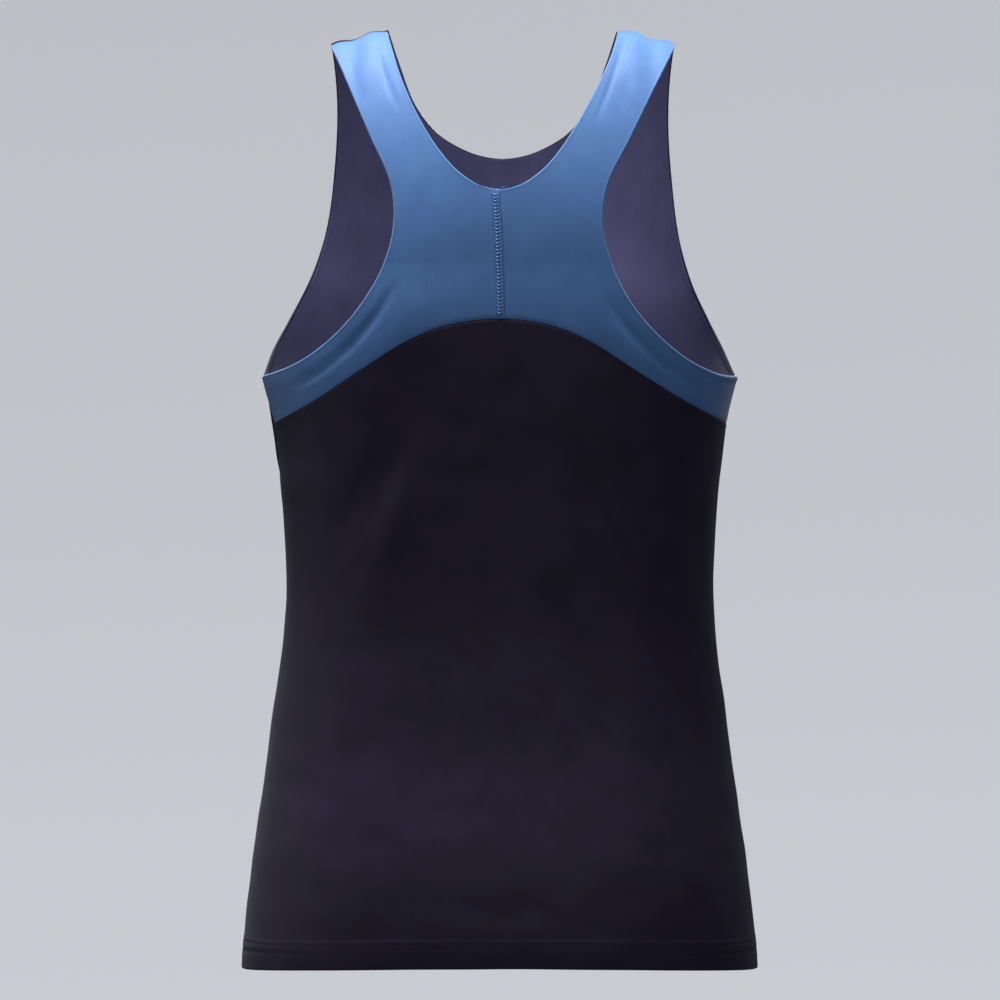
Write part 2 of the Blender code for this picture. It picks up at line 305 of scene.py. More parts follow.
def down_to_hem(side, top_row, shares):
    """Rows of places from a top row down to the hem, closer together in the hem."""
    heights = np.concatenate([HEM_LINES, HEM_FOLD_LINES])
    turn, drop = top_row[:, 0], top_row[:, 1]
    lowest = hem_drop(side, turn)
    stretch = hem_stretch(turn)
    levels = [drop + (lowest - heights[0] * stretch - drop) * share for share in shares]
    levels += [lowest - height * stretch for height in heights[1:]]
    return np.array([np.stack([turn, level], -1) for level in levels])


def distance_to(line, points):
    """How far each point is from the nearest point of a line."""
    tree = KDTree(len(line))
    for index, point in enumerate(line):
        tree.insert(point, index)
    tree.balance()
    return np.array([tree.find(point)[2] for point in points])


def lines_of(side, edges):
    """Fine points along the right and left edges of a cut."""
    places = [edges[hand](np.linspace(0, 1, 1200)) * (mirror, 1) for hand, mirror in HANDS.items()]
    return np.vstack([on_form(side, line[:, 0], line[:, 1]) for line in places])


def from_side_seam(turn, drop):
    """About how far each place is from the side seam, which ends at the armpit."""
    return (math.pi / 2 - np.abs(turn)) * SIDE_RADIUS + np.maximum(0.0, ARMPIT - drop) * 2.0


def rounded(distance, radius):
    """The share of a cloth's thickness that is left towards its edge, where it rounds over."""
    inside = np.clip(distance / radius, 0, 1)
    return np.sqrt(np.maximum(0.0, 1 - (1 - inside) ** 2))


Crease = namedtuple("Crease", "x1 drop1 x2 drop2 x3 drop3 half_width height")


def creased(creases, x, drop):
    """The height that soft ridges, and troughs below 0, give the cloth."""
    total = np.zeros(len(x))
    t = np.linspace(0, 1, 60)
    for crease in creases:
        bend_x = 2 * crease.x2 - (crease.x1 + crease.x3) / 2
        bend_drop = 2 * crease.drop2 - (crease.drop1 + crease.drop3) / 2
        path_x = (1 - t) ** 2 * crease.x1 + 2 * t * (1 - t) * bend_x + t**2 * crease.x3
        path_drop = (1 - t) ** 2 * crease.drop1 + 2 * t * (1 - t) * bend_drop + t**2 * crease.drop3
        apart = (x[:, None] - path_x) ** 2 + (drop[:, None] - path_drop) ** 2
        nearest = apart.argmin(1)
        fade = np.sin(math.pi * t[nearest]) ** 0.8
        total += crease.height * fade * np.exp(-apart.min(1) / crease.half_width**2)
    return total


# Long, shallow unevenness that hanging jersey has everywhere: (length, heading, height) of each wave.
WAVES = ((61.0, 0.35, 0.16), (43.0, -0.9, 0.12), (31.0, 1.4, 0.08), (83.0, -0.25, 0.22), (22.0, 0.75, 0.04))


def unevenness(base):
    round_body = base[:, 0] + 0.6 * base[:, 1]
    return sum(
        height * np.sin(2 * math.pi * (round_body * math.cos(way) + base[:, 2] * math.sin(way)) / length + n)
        for n, (length, way, height) in enumerate(WAVES)
    )


# Towards the side seams above the band's end, the cloth's inside is painted darker as shade under the arms,
# from this drop downwards.
UNDERARM_SHADE_START = 172.0
UNDERARM_SHADE_REACH = 46.0
UNDERARM_SHADE_MOST = 0.92


def cloth_sheet(name, side, grids, lifted, thickness, finishes, free_edges=None):
    """A cut panel as one curved sheet of its cloth's thickness, closed round its edges."""
    places = np.vstack([grid.reshape(-1, 2) for grid in grids])
    faces = []
    start = 0
    for grid in grids:
        rows, columns = grid.shape[:2]
        index = start + np.arange(rows * columns).reshape(rows, columns)
        quads = np.stack([index[:-1, :-1], index[:-1, 1:], index[1:, 1:], index[1:, :-1]], -1)
        quads = quads.reshape(-1, 4)
        to_the_left = grid[-1, -1, 0] < grid[-1, 0, 0]
        faces.append(quads[:, ::-1] if (side == "back") != to_the_left else quads)
        start += rows * columns
    _, kept, joined = np.unique(np.round(places, 6), axis=0, return_index=True, return_inverse=True)
    places = places[kept]
    faces = joined.ravel()[np.vstack(faces)]
    turn, drop = places[:, 0], places[:, 1]
    base = on_form(side, turn, drop)
    facing = outward(side, turn, drop)
    walls = thickness(base, turn, drop)
    outer = base + facing * lifted(base, turn, drop)[:, None]
    inner = outer - facing * walls[:, None]
    count = len(outer)
    sides = np.vstack([faces[:, (k, (k + 1) % 4)] for k in range(4)])
    _, first, uses = np.unique(np.sort(sides, axis=1), axis=0, return_index=True, return_counts=True)
    rim = sides[first[uses == 1]]
    rim_faces = np.stack([rim[:, 1], rim[:, 0], rim[:, 0] + count, rim[:, 1] + count], -1)
    all_faces = np.vstack([faces, faces[:, ::-1] + count, rim_faces])
    mesh = bpy.data.meshes.new(name)
    mesh.from_pydata((np.vstack([outer, inner]) * MM).tolist(), [], all_faces.tolist())
    round_the_body = np.zeros(count)
    before = on_form(side, turn * 0, drop)
    for share in np.linspace(0, 1, 25)[1:]:
        after = on_form(side, turn * share, drop)
        round_the_body += np.linalg.norm(after - before, axis=1)
        before = after
    down_the_body = drop - SHOULDER_GAIN * np.maximum(0, SHOULDER_ROUNDING - drop)
    cloth_place = np.stack([round_the_body * np.sign(turn), -down_the_body], -1) * MM
    cloth_place = np.vstack([cloth_place, cloth_place])
    mesh.uv_layers.new(name="cloth")
    corners = np.zeros(len(mesh.loops), int)
    mesh.loops.foreach_get("vertex_index", corners)
    mesh.uv_layers["cloth"].data.foreach_set("uv", cloth_place[corners].ravel())
    # Painted shade: towards the side seams above the band's end, the cloth's inside darkens further down
    # towards the underarm.
    to_the_side = np.clip((drop < BAND_END) * np.abs(np.sin(turn)), 0, 1) ** 4
    underarm_shading = np.clip((drop - UNDERARM_SHADE_START) / UNDERARM_SHADE_REACH, 0, 1) * to_the_side
    mesh.attributes.new("painted_underarm_shade", "FLOAT", "POINT")
    mesh.attributes["painted_underarm_shade"].data.foreach_set("value", np.tile(UNDERARM_SHADE_MOST * underarm_shading, 2))
    for finish in finishes:
        mesh.materials.append(finish)
    inside = np.zeros(len(all_faces), int)
    inside[len(faces) : 2 * len(faces)] = len(finishes) - 1
    if free_edges is not None:
        showing = np.interp(drop, TURN_SHOWING["drops"], TURN_SHOWING["widths"])
        turned_in = (distance_to(free_edges, base) < showing)[faces].all(1)
        inside[len(faces) : 2 * len(faces)][turned_in] = 0
    mesh.polygons.foreach_set("material_index", inside)
    mesh.shade_smooth()
    sheet = bpy.data.objects.new(name, mesh)
    bpy.context.scene.collection.objects.link(sheet)
    return sheet


def knit_grain():
    """The fine jersey's look, from a place on the cloth in metres: wales, courses and uneven yarn."""
    group = bpy.data.node_groups.new("knit_grain", "ShaderNodeTree")
    for socket in ("Wale", "Streak Length"):
        group.interface.new_socket(socket, in_out="INPUT", socket_type="NodeSocketFloat")
    for socket in ("Loops", "Streaks", "Mottle"):
        group.interface.new_socket(socket, in_out="OUTPUT", socket_type="NodeSocketFloat")
    nodes, links = group.nodes, group.links
    given = nodes.new("NodeGroupInput")
    made = nodes.new("NodeGroupOutput")
    place = nodes.new("ShaderNodeUVMap")
    place.uv_map = "cloth"
    split = nodes.new("ShaderNodeSeparateXYZ")
    links.new(place.outputs["UV"], split.inputs[0])

    def math_node(operation, first, second=None):
        node = nodes.new("ShaderNodeMath")
        node.operation = operation
        for socket, value in zip(node.inputs, (first, second)):
            if isinstance(value, (int, float)):
                socket.default_value = value
            elif value is not None:
                links.new(value, socket)
        return node.outputs[0]

    across = math_node("DIVIDE", split.outputs["X"], given.outputs["Wale"])
    down = math_node("DIVIDE", split.outputs["Y"], given.outputs["Wale"])
    wale = math_node("SINE", math_node("MULTIPLY", across, 2 * math.pi))
    zigzag = math_node("MULTIPLY", math_node("ABSOLUTE", wale), 0.35)
    course = math_node("SINE", math_node("MULTIPLY", math_node("ADD", down, zigzag), 2 * math.pi * 1.3))
    loops = math_node("ADD", math_node("MULTIPLY", wale, 0.6), math_node("MULTIPLY", course, 0.4))
    links.new(loops, made.inputs["Loops"])
    long_way = nodes.new("ShaderNodeCombineXYZ")
    links.new(split.outputs["X"], long_way.inputs["X"])
    links.new(math_node("DIVIDE", split.outputs["Y"], given.outputs["Streak Length"]), long_way.inputs["Y"])
    streaks = nodes.new("ShaderNodeTexNoise")
    streaks.inputs["Scale"].default_value = 900.0
    streaks.inputs["Detail"].default_value = 3.0
    links.new(long_way.outputs[0], streaks.inputs["Vector"])
    links.new(streaks.outputs["Fac"], made.inputs["Streaks"])
    mottle = nodes.new("ShaderNodeTexNoise")
    mottle.inputs["Scale"].default_value = 55.0
    mottle.inputs["Detail"].default_value = 4.0
    links.new(place.outputs["UV"], mottle.inputs["Vector"])
    links.new(mottle.outputs["Fac"], made.inputs["Mottle"])
    return group


KNIT_GRAIN = knit_grain()


def knit_cloth(name, dark, light, roughness, specular, sheen, bump, painted_underarm_shade=None):
    """A jersey between two colours, with its grain in its colour, gloss and relief.

    Where the sheet's attribute marks painted shade under the arms, it can turn to a third colour.
    """
    material = bpy.data.materials.new(name)
    material.use_nodes = True
    nodes, links = material.node_tree.nodes, material.node_tree.links
    shader = nodes["Principled BSDF"]
    grain = nodes.new("ShaderNodeGroup")
    grain.node_tree = KNIT_GRAIN
    grain.inputs["Wale"].default_value = 0.0006
    grain.inputs["Streak Length"].default_value = 9.0
    tone = nodes.new("ShaderNodeMath")
    tone.operation = "MULTIPLY_ADD"
    links.new(grain.outputs["Streaks"], tone.inputs[0])
    tone.inputs[1].default_value = 0.7
    links.new(grain.outputs["Mottle"], tone.inputs[2])
    spread = nodes.new("ShaderNodeMapRange")
    spread.inputs["From Min"].default_value = 0.55
    spread.inputs["From Max"].default_value = 1.15
    links.new(tone.outputs[0], spread.inputs["Value"])
    colour = nodes.new("ShaderNodeMix")
    colour.data_type = "RGBA"
    colour.inputs[6].default_value = (*dark, 1)
    colour.inputs[7].default_value = (*light, 1)
    links.new(spread.outputs["Result"], colour.inputs[0])
    shown = colour
    # Painted shade under the arms: the attribute turns the colour towards the third one.
    if painted_underarm_shade:
        where = nodes.new("ShaderNodeAttribute")
        where.attribute_name = "painted_underarm_shade"
        shown = nodes.new("ShaderNodeMix")
        shown.data_type = "RGBA"
        shown.inputs[7].default_value = (*painted_underarm_shade, 1)
        links.new(where.outputs["Fac"], shown.inputs[0])
        links.new(colour.outputs[2], shown.inputs[6])
    links.new(shown.outputs[2], shader.inputs["Base Color"])
    gloss = nodes.new("ShaderNodeMapRange")
    gloss.inputs["To Min"].default_value = roughness - 0.05
    gloss.inputs["To Max"].default_value = roughness + 0.07
    links.new(grain.outputs["Streaks"], gloss.inputs["Value"])
    links.new(gloss.outputs["Result"], shader.inputs["Roughness"])
    relief = nodes.new("ShaderNodeBump")
    relief.inputs["Strength"].default_value = bump
    relief.inputs["Distance"].default_value = 0.0001
    links.new(grain.outputs["Loops"], relief.inputs["Height"])
    links.new(relief.outputs["Normal"], shader.inputs["Normal"])
    shader.inputs["Specular IOR Level"].default_value = specular
    shader.inputs["Sheen Weight"].default_value = sheen
    shader.inputs["Sheen Roughness"].default_value = 0.5
    return material


dark_face = knit_cloth(
    "body_knit_face", dark=(0.0152, 0.0108, 0.028), light=(0.022, 0.0162, 0.0412),
    roughness=0.5, specular=0.12, sheen=0.05, bump=0.3,
)
# The cloth's inside, whose third colour is painted shade under the arms.
dark_reverse = knit_cloth(
    "body_knit_reverse", dark=(0.117, 0.112, 0.232), light=(0.149, 0.141, 0.29),
    roughness=0.85, specular=0.1, sheen=0.1, bump=0.4, painted_underarm_shade=(0.022, 0.019, 0.036),
)

BODY_KNIT = 1.0
# How much of the outer face shows inside along the turned-in edges, which is most under the arms.
TURN_SHOWING = {"drops": (130.0, 180.0), "widths": (0.6, 1.7)}
TURNED_IN = 1.9  # the thickness of the turned-in edges and of the hem
TURNED_IN_WIDTH = 3.5
THINNEST = 0.12  # what is left of a wall where its edge has rounded over
EDGE_ROLL = 0.3  # how far the turned-in edges stand out
SEAM_EASE = 0.3  # how far the panels sink towards a seam
ALLOWANCE = 6.0
SIDE_ROLL = 2.0  # how far the front stands out under the left armhole, past the back's edge
SIDE_ROLL_DROP = 263.0
SIDE_ROLL_REACH = 20.0
# At the shoulder seams one strap end lies lower, the yoke's on the left and the front's on the right. The
# other's seam allowance is thicker there by as much, so that the two ends still meet.
LEFT_STEP = 2.1
RIGHT_STEP = 1.2
STEP_REACH = 9.0
STEP_ROUNDING = 1.5
# Where the yoke's band meets the side seam, the front sinks behind the band's end.
BAND_SEAM_DROP = 230.0
BAND_SEAM_WIDTH = 4.0
FRONT_TUCK = 0.9
FRONT_TUCK_REACH = 9.0
HEM_STAND = 0.3  # how far the hem stands out from the cloth above it
CHANNEL_HALF_WIDTH = 0.9
FRONT_COLUMNS = 56
FRONT_ROWS = 100
FRONT_NECK_ROWS = 48
FRONT_CENTRE_ROWS = 40
FRONT_CENTRE_LENGTH = 126.0  # the length from which its closer rows are worked out
FRONT_BAND_ROWS = 12
FRONT_ARMHOLE_AT_NECK = 0.5
front_neckline = edge("front", FRONT_NECKLINE, mirrored=True)
front_armholes = {hand: edge("front", FRONT_ARMHOLES[hand]) for hand in HANDS}
front_free_edges = np.vstack(
    [lines_of("front", dict.fromkeys(HANDS, front_neckline)), lines_of("front", front_armholes)]
)
FRONT_CREASES = [
    Crease(-60, 262, -82, 318, -112, 362, 12, -1.6),
    Crease(-88, 250, -108, 300, -126, 338, 9, -1.0),
    Crease(52, 268, 78, 322, 108, 372, 13, -1.7),
    Crease(84, 262, 104, 300, 122, 352, 9, 0.9),
    Crease(-22, 300, -36, 362, -62, 420, 16, -1.0),
    Crease(30, 352, 48, 404, 82, 450, 15, -1.1),
    Crease(-108, 380, -84, 398, -52, 402, 10, -0.9),
    Crease(62, 392, 90, 384, 120, 372, 9, -0.8),
    Crease(-40, 470, -66, 520, -96, 566, 18, -0.9),
    Crease(18, 488, 30, 540, 38, 588, 17, 0.8),
    Crease(92, 480, 108, 530, 122, 580, 16, -0.9),
    Crease(-96, 12, -97, 40, -102, 70, 6, -0.7),
    Crease(92, 10, 94, 36, 100, 62, 6, -0.6),
]


def in_hem(side, turn, drop):
    """The soft channels that the hem's rows of stitches press into it, and its thicker fold."""
    height = (hem_drop(side, turn) - drop) / hem_stretch(turn)
    puckers = 0.5 + 0.5 * np.sin(turn * 61.0 + 2.0 * np.sin(turn * 17.0))
    tight = 0.1 + 0.9 * np.sin(turn) ** 6
    channels = sum(np.exp(-(((height - row) / CHANNEL_HALF_WIDTH) ** 2)) for row in HEM_ROWS)
    return HEM_STAND * np.clip(HEM_DEPTH + 1.5 - height, 0, 1) - channels * tight * (0.2 + 0.2 * puckers)


def edges_of_front(base, turn, drop):
    """How far each point is from the front's free edges and from its seams."""
    free = np.minimum(distance_to(front_free_edges, base), hem_drop("front", turn) - drop)
    seam = np.minimum(from_side_seam(turn, drop), drop * (1 + SHOULDER_GAIN))
    return free, seam


def side_roll(turn, drop, seam):
    under_arm = np.exp(-(((drop - SIDE_ROLL_DROP) / SIDE_ROLL_REACH) ** 4)) * (turn < 0)
    return SIDE_ROLL * under_arm * np.exp(-(((seam - 1.0) / 5.0) ** 2))


def front_wall(base, turn, drop):
    free, seam = edges_of_front(base, turn, drop)
    turned = (TURNED_IN - BODY_KNIT) * np.exp(-((np.minimum(free, seam) / TURNED_IN_WIDTH) ** 4))
    height = (hem_drop("front", turn) - drop) / hem_stretch(turn)
    hem = (TURNED_IN - BODY_KNIT) * np.clip((HEM_DEPTH + HEM_EDGE / 2 - height) / HEM_EDGE, 0, 1)
    walls = BODY_KNIT + np.maximum(turned, hem) + side_roll(turn, drop, seam)
    step = np.where(turn < 0, LEFT_STEP, 0.0) * np.exp(-((drop / STEP_REACH) ** 2))
    step = step * rounded(free, STEP_ROUNDING)
    return np.maximum(THINNEST, walls * rounded(np.minimum(free, seam), TURNED_IN / 2)) + step


def front_lift(base, turn, drop):
    free, seam = edges_of_front(base, turn, drop)
    lift = (creased(FRONT_CREASES, base[:, 0], drop) + unevenness(base)) * np.clip(free / 20.0, 0, 1)
    lift += EDGE_ROLL * np.exp(-((free - 1.0) ** 2)) * np.clip((ARMPIT - 6.0 - drop) / 12.0, 0, 1)
    lift -= SEAM_EASE * np.exp(-((seam / 2.0) ** 2))
    at_band = ((drop - BAND_SEAM_DROP) / FRONT_TUCK_REACH) ** 4
    lift -= FRONT_TUCK * np.exp(-at_band - (seam / BAND_SEAM_WIDTH) ** 2)
    lift -= np.where(turn > 0, RIGHT_STEP, 0.0) * np.exp(-((drop / STEP_REACH) ** 2))
    lift += side_roll(turn, drop, seam)
    round_over = (1 - rounded(np.minimum(free, seam), TURNED_IN / 2)) * TURNED_IN / 2
    return lift + in_hem("front", turn, drop) - round_over


EDGE_ROWS = np.array([0.0, 0.15, 0.35, 0.6, 0.9, 1.3, 1.8, 2.5, 3.5])


def centre_shares(length, rows, seam_below=False):
    """Shares of a centre line, closer together under the neckline and at a seam below."""
    close = EDGE_ROWS / length
    last = 1 - close[-1] if seam_below else 1.0
    shares = np.concatenate([close[:-1], np.linspace(close[-1], last, rows)])
    return np.concatenate([shares, 1 - close[-2::-1]]) if seam_below else shares


down = centre_shares(FRONT_CENTRE_LENGTH, FRONT_CENTRE_ROWS)
inner = np.vstack([
    front_neckline(np.linspace(0, 1, FRONT_NECK_ROWS + 1))[:-1],
    front_neckline(1.0) + ((0.0, ARMPIT) - front_neckline(1.0)) * down[:, None],
])
inner[0, 1] = 0.0
SHOULDER_ROWS = np.array([0.0, 0.25, 0.5, 0.8, 1.2, 2.0, 3.2])


def from_shoulder(rail):
    """The same edge with closer rows at its shoulder seam."""
    turns = np.interp(SHOULDER_ROWS, (0.0, rail[3, 1]), (rail[0, 0], rail[3, 0]))
    return np.vstack([np.stack([turns, SHOULDER_ROWS], -1), rail[3:]])


uppers = {}
for hand, armhole in front_armholes.items():
    outer = np.vstack([
        armhole(np.linspace(0, FRONT_ARMHOLE_AT_NECK, FRONT_NECK_ROWS + 1))[:-1],
        armhole(FRONT_ARMHOLE_AT_NECK + (1 - FRONT_ARMHOLE_AT_NECK) * down),
    ])
    outer[0, 1] = 0.0
    outer[-1] = (math.pi / 2, ARMPIT)
    uppers[hand] = ruled(from_shoulder(inner), from_shoulder(outer), crowded(FRONT_COLUMNS, 0.78, 0.78))
across = np.concatenate([-uppers["left"][-1, :0:-1, 0], uppers["right"][-1, :, 0]])
band_drops = np.linspace(ARMPIT, BAND_END, FRONT_BAND_ROWS)
band = np.array([np.stack([across, across * 0 + drop], -1) for drop in band_drops])
below_band = down_to_hem("front", band[-1], np.linspace(0, 1, FRONT_ROWS))
front = cloth_sheet(
    "front_panel",
    "front",
    [uppers["right"], uppers["left"] * (-1, 1), band, below_band],
    front_lift,
    front_wall,
    [dark_face, dark_reverse],
    front_free_edges,
)
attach(front, "root")
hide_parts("front")


def spun_thread(name, dark, light):
    """Sewing thread: two plies that wind round it, with a painted highlight on top of each ply."""
    material = bpy.data.materials.new(name)
    material.use_nodes = True
    nodes, links = material.node_tree.nodes, material.node_tree.links
    shader = nodes["Principled BSDF"]
    place = nodes.new("ShaderNodeTexCoord")
    plies = nodes.new("ShaderNodeTexWave")
    plies.bands_direction = "DIAGONAL"
    plies.inputs["Scale"].default_value = 900.0
    plies.inputs["Distortion"].default_value = 1.5
    links.new(place.outputs["Object"], plies.inputs["Vector"])
    # Painted highlight: the colour turns from dark to light over the top of each ply.
    colour = nodes.new("ShaderNodeMix")
    colour.data_type = "RGBA"
    colour.inputs[6].default_value = (*dark, 1)
    colour.inputs[7].default_value = (*light, 1)
    links.new(plies.outputs["Fac"], colour.inputs[0])
    links.new(colour.outputs[2], shader.inputs["Base Color"])
    relief = nodes.new("ShaderNodeBump")
    relief.inputs["Strength"].default_value = 0.4
    relief.inputs["Distance"].default_value = 0.0001
    links.new(plies.outputs["Fac"], relief.inputs["Height"])
    links.new(relief.outputs["Normal"], shader.inputs["Normal"])
    shader.inputs["Roughness"].default_value = 0.6
    shader.inputs["Specular IOR Level"].default_value = 0.15
    return material


def along_cloth(side, turn, drop, height, pitch):
    """Points every so far along a line of places, with the ways the line runs and the cloth faces."""
    points = on_form(side, turn, drop) + outward(side, turn, drop) * height[:, None]
    run = np.concatenate([[0.0], np.cumsum(np.linalg.norm(np.diff(points, axis=0), axis=1))])
    steps = np.arange(pitch / 2, run[-1] - pitch / 4, pitch)

    def at(values, where):
        return np.stack([np.interp(where, run, values[:, k]) for k in range(3)], -1)

    ahead = at(points, steps + 0.3) - at(points, steps - 0.3)
    ahead /= np.linalg.norm(ahead, axis=1, keepdims=True)
    return at(points, steps), ahead, at(outward(side, turn, drop), steps)


def stitch_row(name, points, ahead, facing, length, width, thickness, slant, thread, body_slot):
    """A row of like stitches as one mesh: one bead of thread, modelled once and copied to each point."""
    bpy.ops.object.select_all(action="DESELECT")
    bpy.ops.mesh.primitive_uv_sphere_add(segments=8, ring_count=6, radius=0.5)
    bead = bpy.context.object
    bpy.ops.object.mode_set(mode="EDIT")
    bpy.ops.mesh.select_all(action="SELECT")
    bpy.ops.transform.resize(value=(width, thickness, length))
    bpy.ops.object.mode_set(mode="OBJECT")
    corners = np.array([vertex.co for vertex in bead.data.vertices])
    faces = [list(face.vertices) for face in bead.data.polygons]
    bpy.data.objects.remove(bead)
    aside = np.cross(ahead, facing)
    along = ahead * math.cos(slant) + aside * math.sin(slant)
    across = np.cross(facing, along)
    placed = points[:, None] + sum(
        corners[None, :, k, None] * way[:, None] for k, way in enumerate((across, facing, along))
    )
    copies = [[v + n * len(corners) for v in face] for n in range(len(points)) for face in faces]
    mesh = bpy.data.meshes.new(name)
    mesh.from_pydata((placed.reshape(-1, 3) * MM).tolist(), [], copies)
    mesh.materials.append(thread)
    mesh.shade_smooth()
    row = bpy.data.objects.new(name, mesh)
    bpy.context.scene.collection.objects.link(row)
    bpy.ops.object.select_all(action="DESELECT")
    row.select_set(True)
    bpy.context.view_layer.objects.active = row
    bpy.ops.object.mode_set(mode="EDIT")
    bpy.ops.mesh.select_all(action="SELECT")
    bpy.ops.mesh.normals_make_consistent(inside=False)
    bpy.ops.object.mode_set(mode="OBJECT")
    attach(row, "root")
    return row


dark_thread = spun_thread("near_black_thread", (0.006, 0.005, 0.01), (0.02, 0.017, 0.034))
HEM_PITCH = 2.8
HEM_STITCH = {"length": 2.1, "width": 0.45, "thickness": 0.3, "slant": 0.0}
HEM_STITCH_SINK = 0.02


def hem_stitches(side, lifted):
    """Both rows of the hem's cover stitch on one panel."""
    turn = np.linspace(-math.pi / 2, math.pi / 2, 500)
    rows = []
    for height in HEM_ROWS:
        drop = hem_drop(side, turn) - height * hem_stretch(turn)
        lift = lifted(on_form(side, turn, drop), turn, drop) - HEM_STITCH_SINK
        rows.append(along_cloth(side, turn, drop, lift, HEM_PITCH))
    points, ahead, facing = (np.vstack(parts) for parts in zip(*rows))
    return stitch_row(
        side + "_hem_stitches", points, ahead, facing, **HEM_STITCH, thread=dark_thread, body_slot="body_knit"
    )


front_hem_stitches = hem_stitches("front", front_lift)


# The lower back: the same near-black jersey, arched at the top where it is sewn to the yoke, with its hem
# turned up like the front's. The cut hangs in soft folds from the shoulder blades to the waist.
YOKE_SEAMS = {
    "right": (
        (149.0, BAND_END), (124.5, 240.9), (90.0, 220.5), (58.0, 200.7), (41.0, 193.0), (22.0, 188.3),
        (0.0, 186.4),
    ),
    "left": (
        (149.0, BAND_END), (124.5, 240.9), (90.0, 219.1), (58.0, 199.8), (41.0, 192.6), (22.0, 188.2),
        (0.0, 186.4),
    ),
}
ARCH_RIDGE = 0.13  # how far the lower back stands up beside the arched seam
BACK_COLUMNS = 72
BACK_ROWS = 120
BACK_CREASES = [
    Crease(-44, 252, -62, 300, -86, 366, 9, 1.9),
    Crease(-60, 262, -76, 292, -92, 316, 5.5, -0.9),
    Crease(-76, 266, -92, 300, -104, 330, 6, -0.8),
    Crease(-64, 286, -84, 318, -98, 336, 4, -0.6),
    Crease(-72, 300, -90, 332, -104, 352, 5, 0.5),
    Crease(46, 262, 66, 306, 94, 372, 7, -1.2),
    Crease(60, 296, 76, 338, 98, 386, 6, 2.5),
    Crease(84, 266, 92, 300, 94, 330, 16, -1.8),
    Crease(28, 362, 52, 402, 74, 446, 8, -1.6),
    Crease(44, 418, 58, 452, 78, 482, 5, -1.2),
    Crease(38, 440, 56, 462, 84, 478, 4, 0.9),
    Crease(66, 452, 80, 468, 88, 476, 3.5, -0.45),
    Crease(-110, 396, -96, 430, -76, 470, 15, 0.6),
    Crease(98, 400, 88, 440, 80, 490, 14, 0.5),
    Crease(-58, 560, 0, 570, 52, 562, 9, -0.5),
    Crease(-50, 578, 0, 583, 40, 579, 4, 0.3),
    Crease(-138, 300, -128, 340, -132, 380, 8, -0.5),
    Crease(136, 300, 126, 336, 130, 390, 8, -0.6),
    Crease(-142, 560, -120, 520, -100, 500, 14, 0.4),
]
Swell = namedtuple("Swell", "x drop reach_x reach_drop height")
SWELLS = [
    Swell(-50, 180, 55, 34, 3.0),
    Swell(56, 180, 50, 32, 1.6),
    Swell(0, 350, 105, 50, 6.0),
    Swell(0, 428, 105, 45, 5.6),
    Swell(0, 524, 130, 34, 1.6),
    Swell(0, 606, 130, 34, 2.4),
]


def swelled(x, drop):
    """The broad swells over the shoulder blades, where the cloth spans the waist, and over the seat."""
    return sum(
        swell.height
        * np.exp(-(((x - swell.x) / swell.reach_x) ** 2) - ((drop - swell.drop) / swell.reach_drop) ** 2)
        for swell in SWELLS
    )


yoke_seams = {hand: edge("back", YOKE_SEAMS[hand], mirrored=True) for hand in HANDS}
yoke_seam_line = lines_of("back", yoke_seams)


def edges_of_back(base, turn, drop):
    top = distance_to(yoke_seam_line, base)
    seam = np.minimum(top, from_side_seam(turn, np.maximum(drop, BAND_END)))
    return top, seam, hem_drop("back", turn) - drop


def back_wall(base, turn, drop):
    top, seam, height = edges_of_back(base, turn, drop)
    allowance = np.exp(-((seam / ALLOWANCE) ** 4))
    hem = np.clip((HEM_DEPTH + HEM_EDGE / 2 - height / hem_stretch(turn)) / HEM_EDGE, 0, 1)
    walls = BODY_KNIT + (TURNED_IN - BODY_KNIT) * np.maximum(allowance, hem)
    return np.maximum(THINNEST, walls * rounded(np.minimum(seam, height), TURNED_IN / 2))


def back_lift(base, turn, drop):
    top, seam, height = edges_of_back(base, turn, drop)
    lift = creased(BACK_CREASES, base[:, 0], drop) + unevenness(base) * np.clip(top / 30.0, 0, 1)
    lift += swelled(base[:, 0], drop) - SEAM_EASE * np.exp(-((seam / 1.5) ** 2))
    lift += ARCH_RIDGE * np.exp(-(((top - 1.9) / 0.8) ** 2))
    round_over = (1 - rounded(np.minimum(seam, height), TURNED_IN / 2)) * TURNED_IN / 2
    return lift + in_hem("back", turn, drop) - round_over


halves = {hand: yoke_seams[hand](1 - crowded(BACK_COLUMNS, 0.0, 0.85)) for hand in HANDS}
top_row = np.vstack([halves["left"][:0:-1] * (-1, 1), halves["right"]])
top_row[:, 0] = np.clip(top_row[:, 0], -math.pi / 2, math.pi / 2)
back_lower = cloth_sheet(
    "lower_back_panel",
    "back",
    [down_to_hem("back", top_row, crowded(BACK_ROWS, 0.88))],
    back_lift,
    back_wall,
    [dark_face, dark_reverse],
)
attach(back_lower, "root")
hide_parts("back_lower")
back_hem_stitches = hem_stitches("back", back_lift)


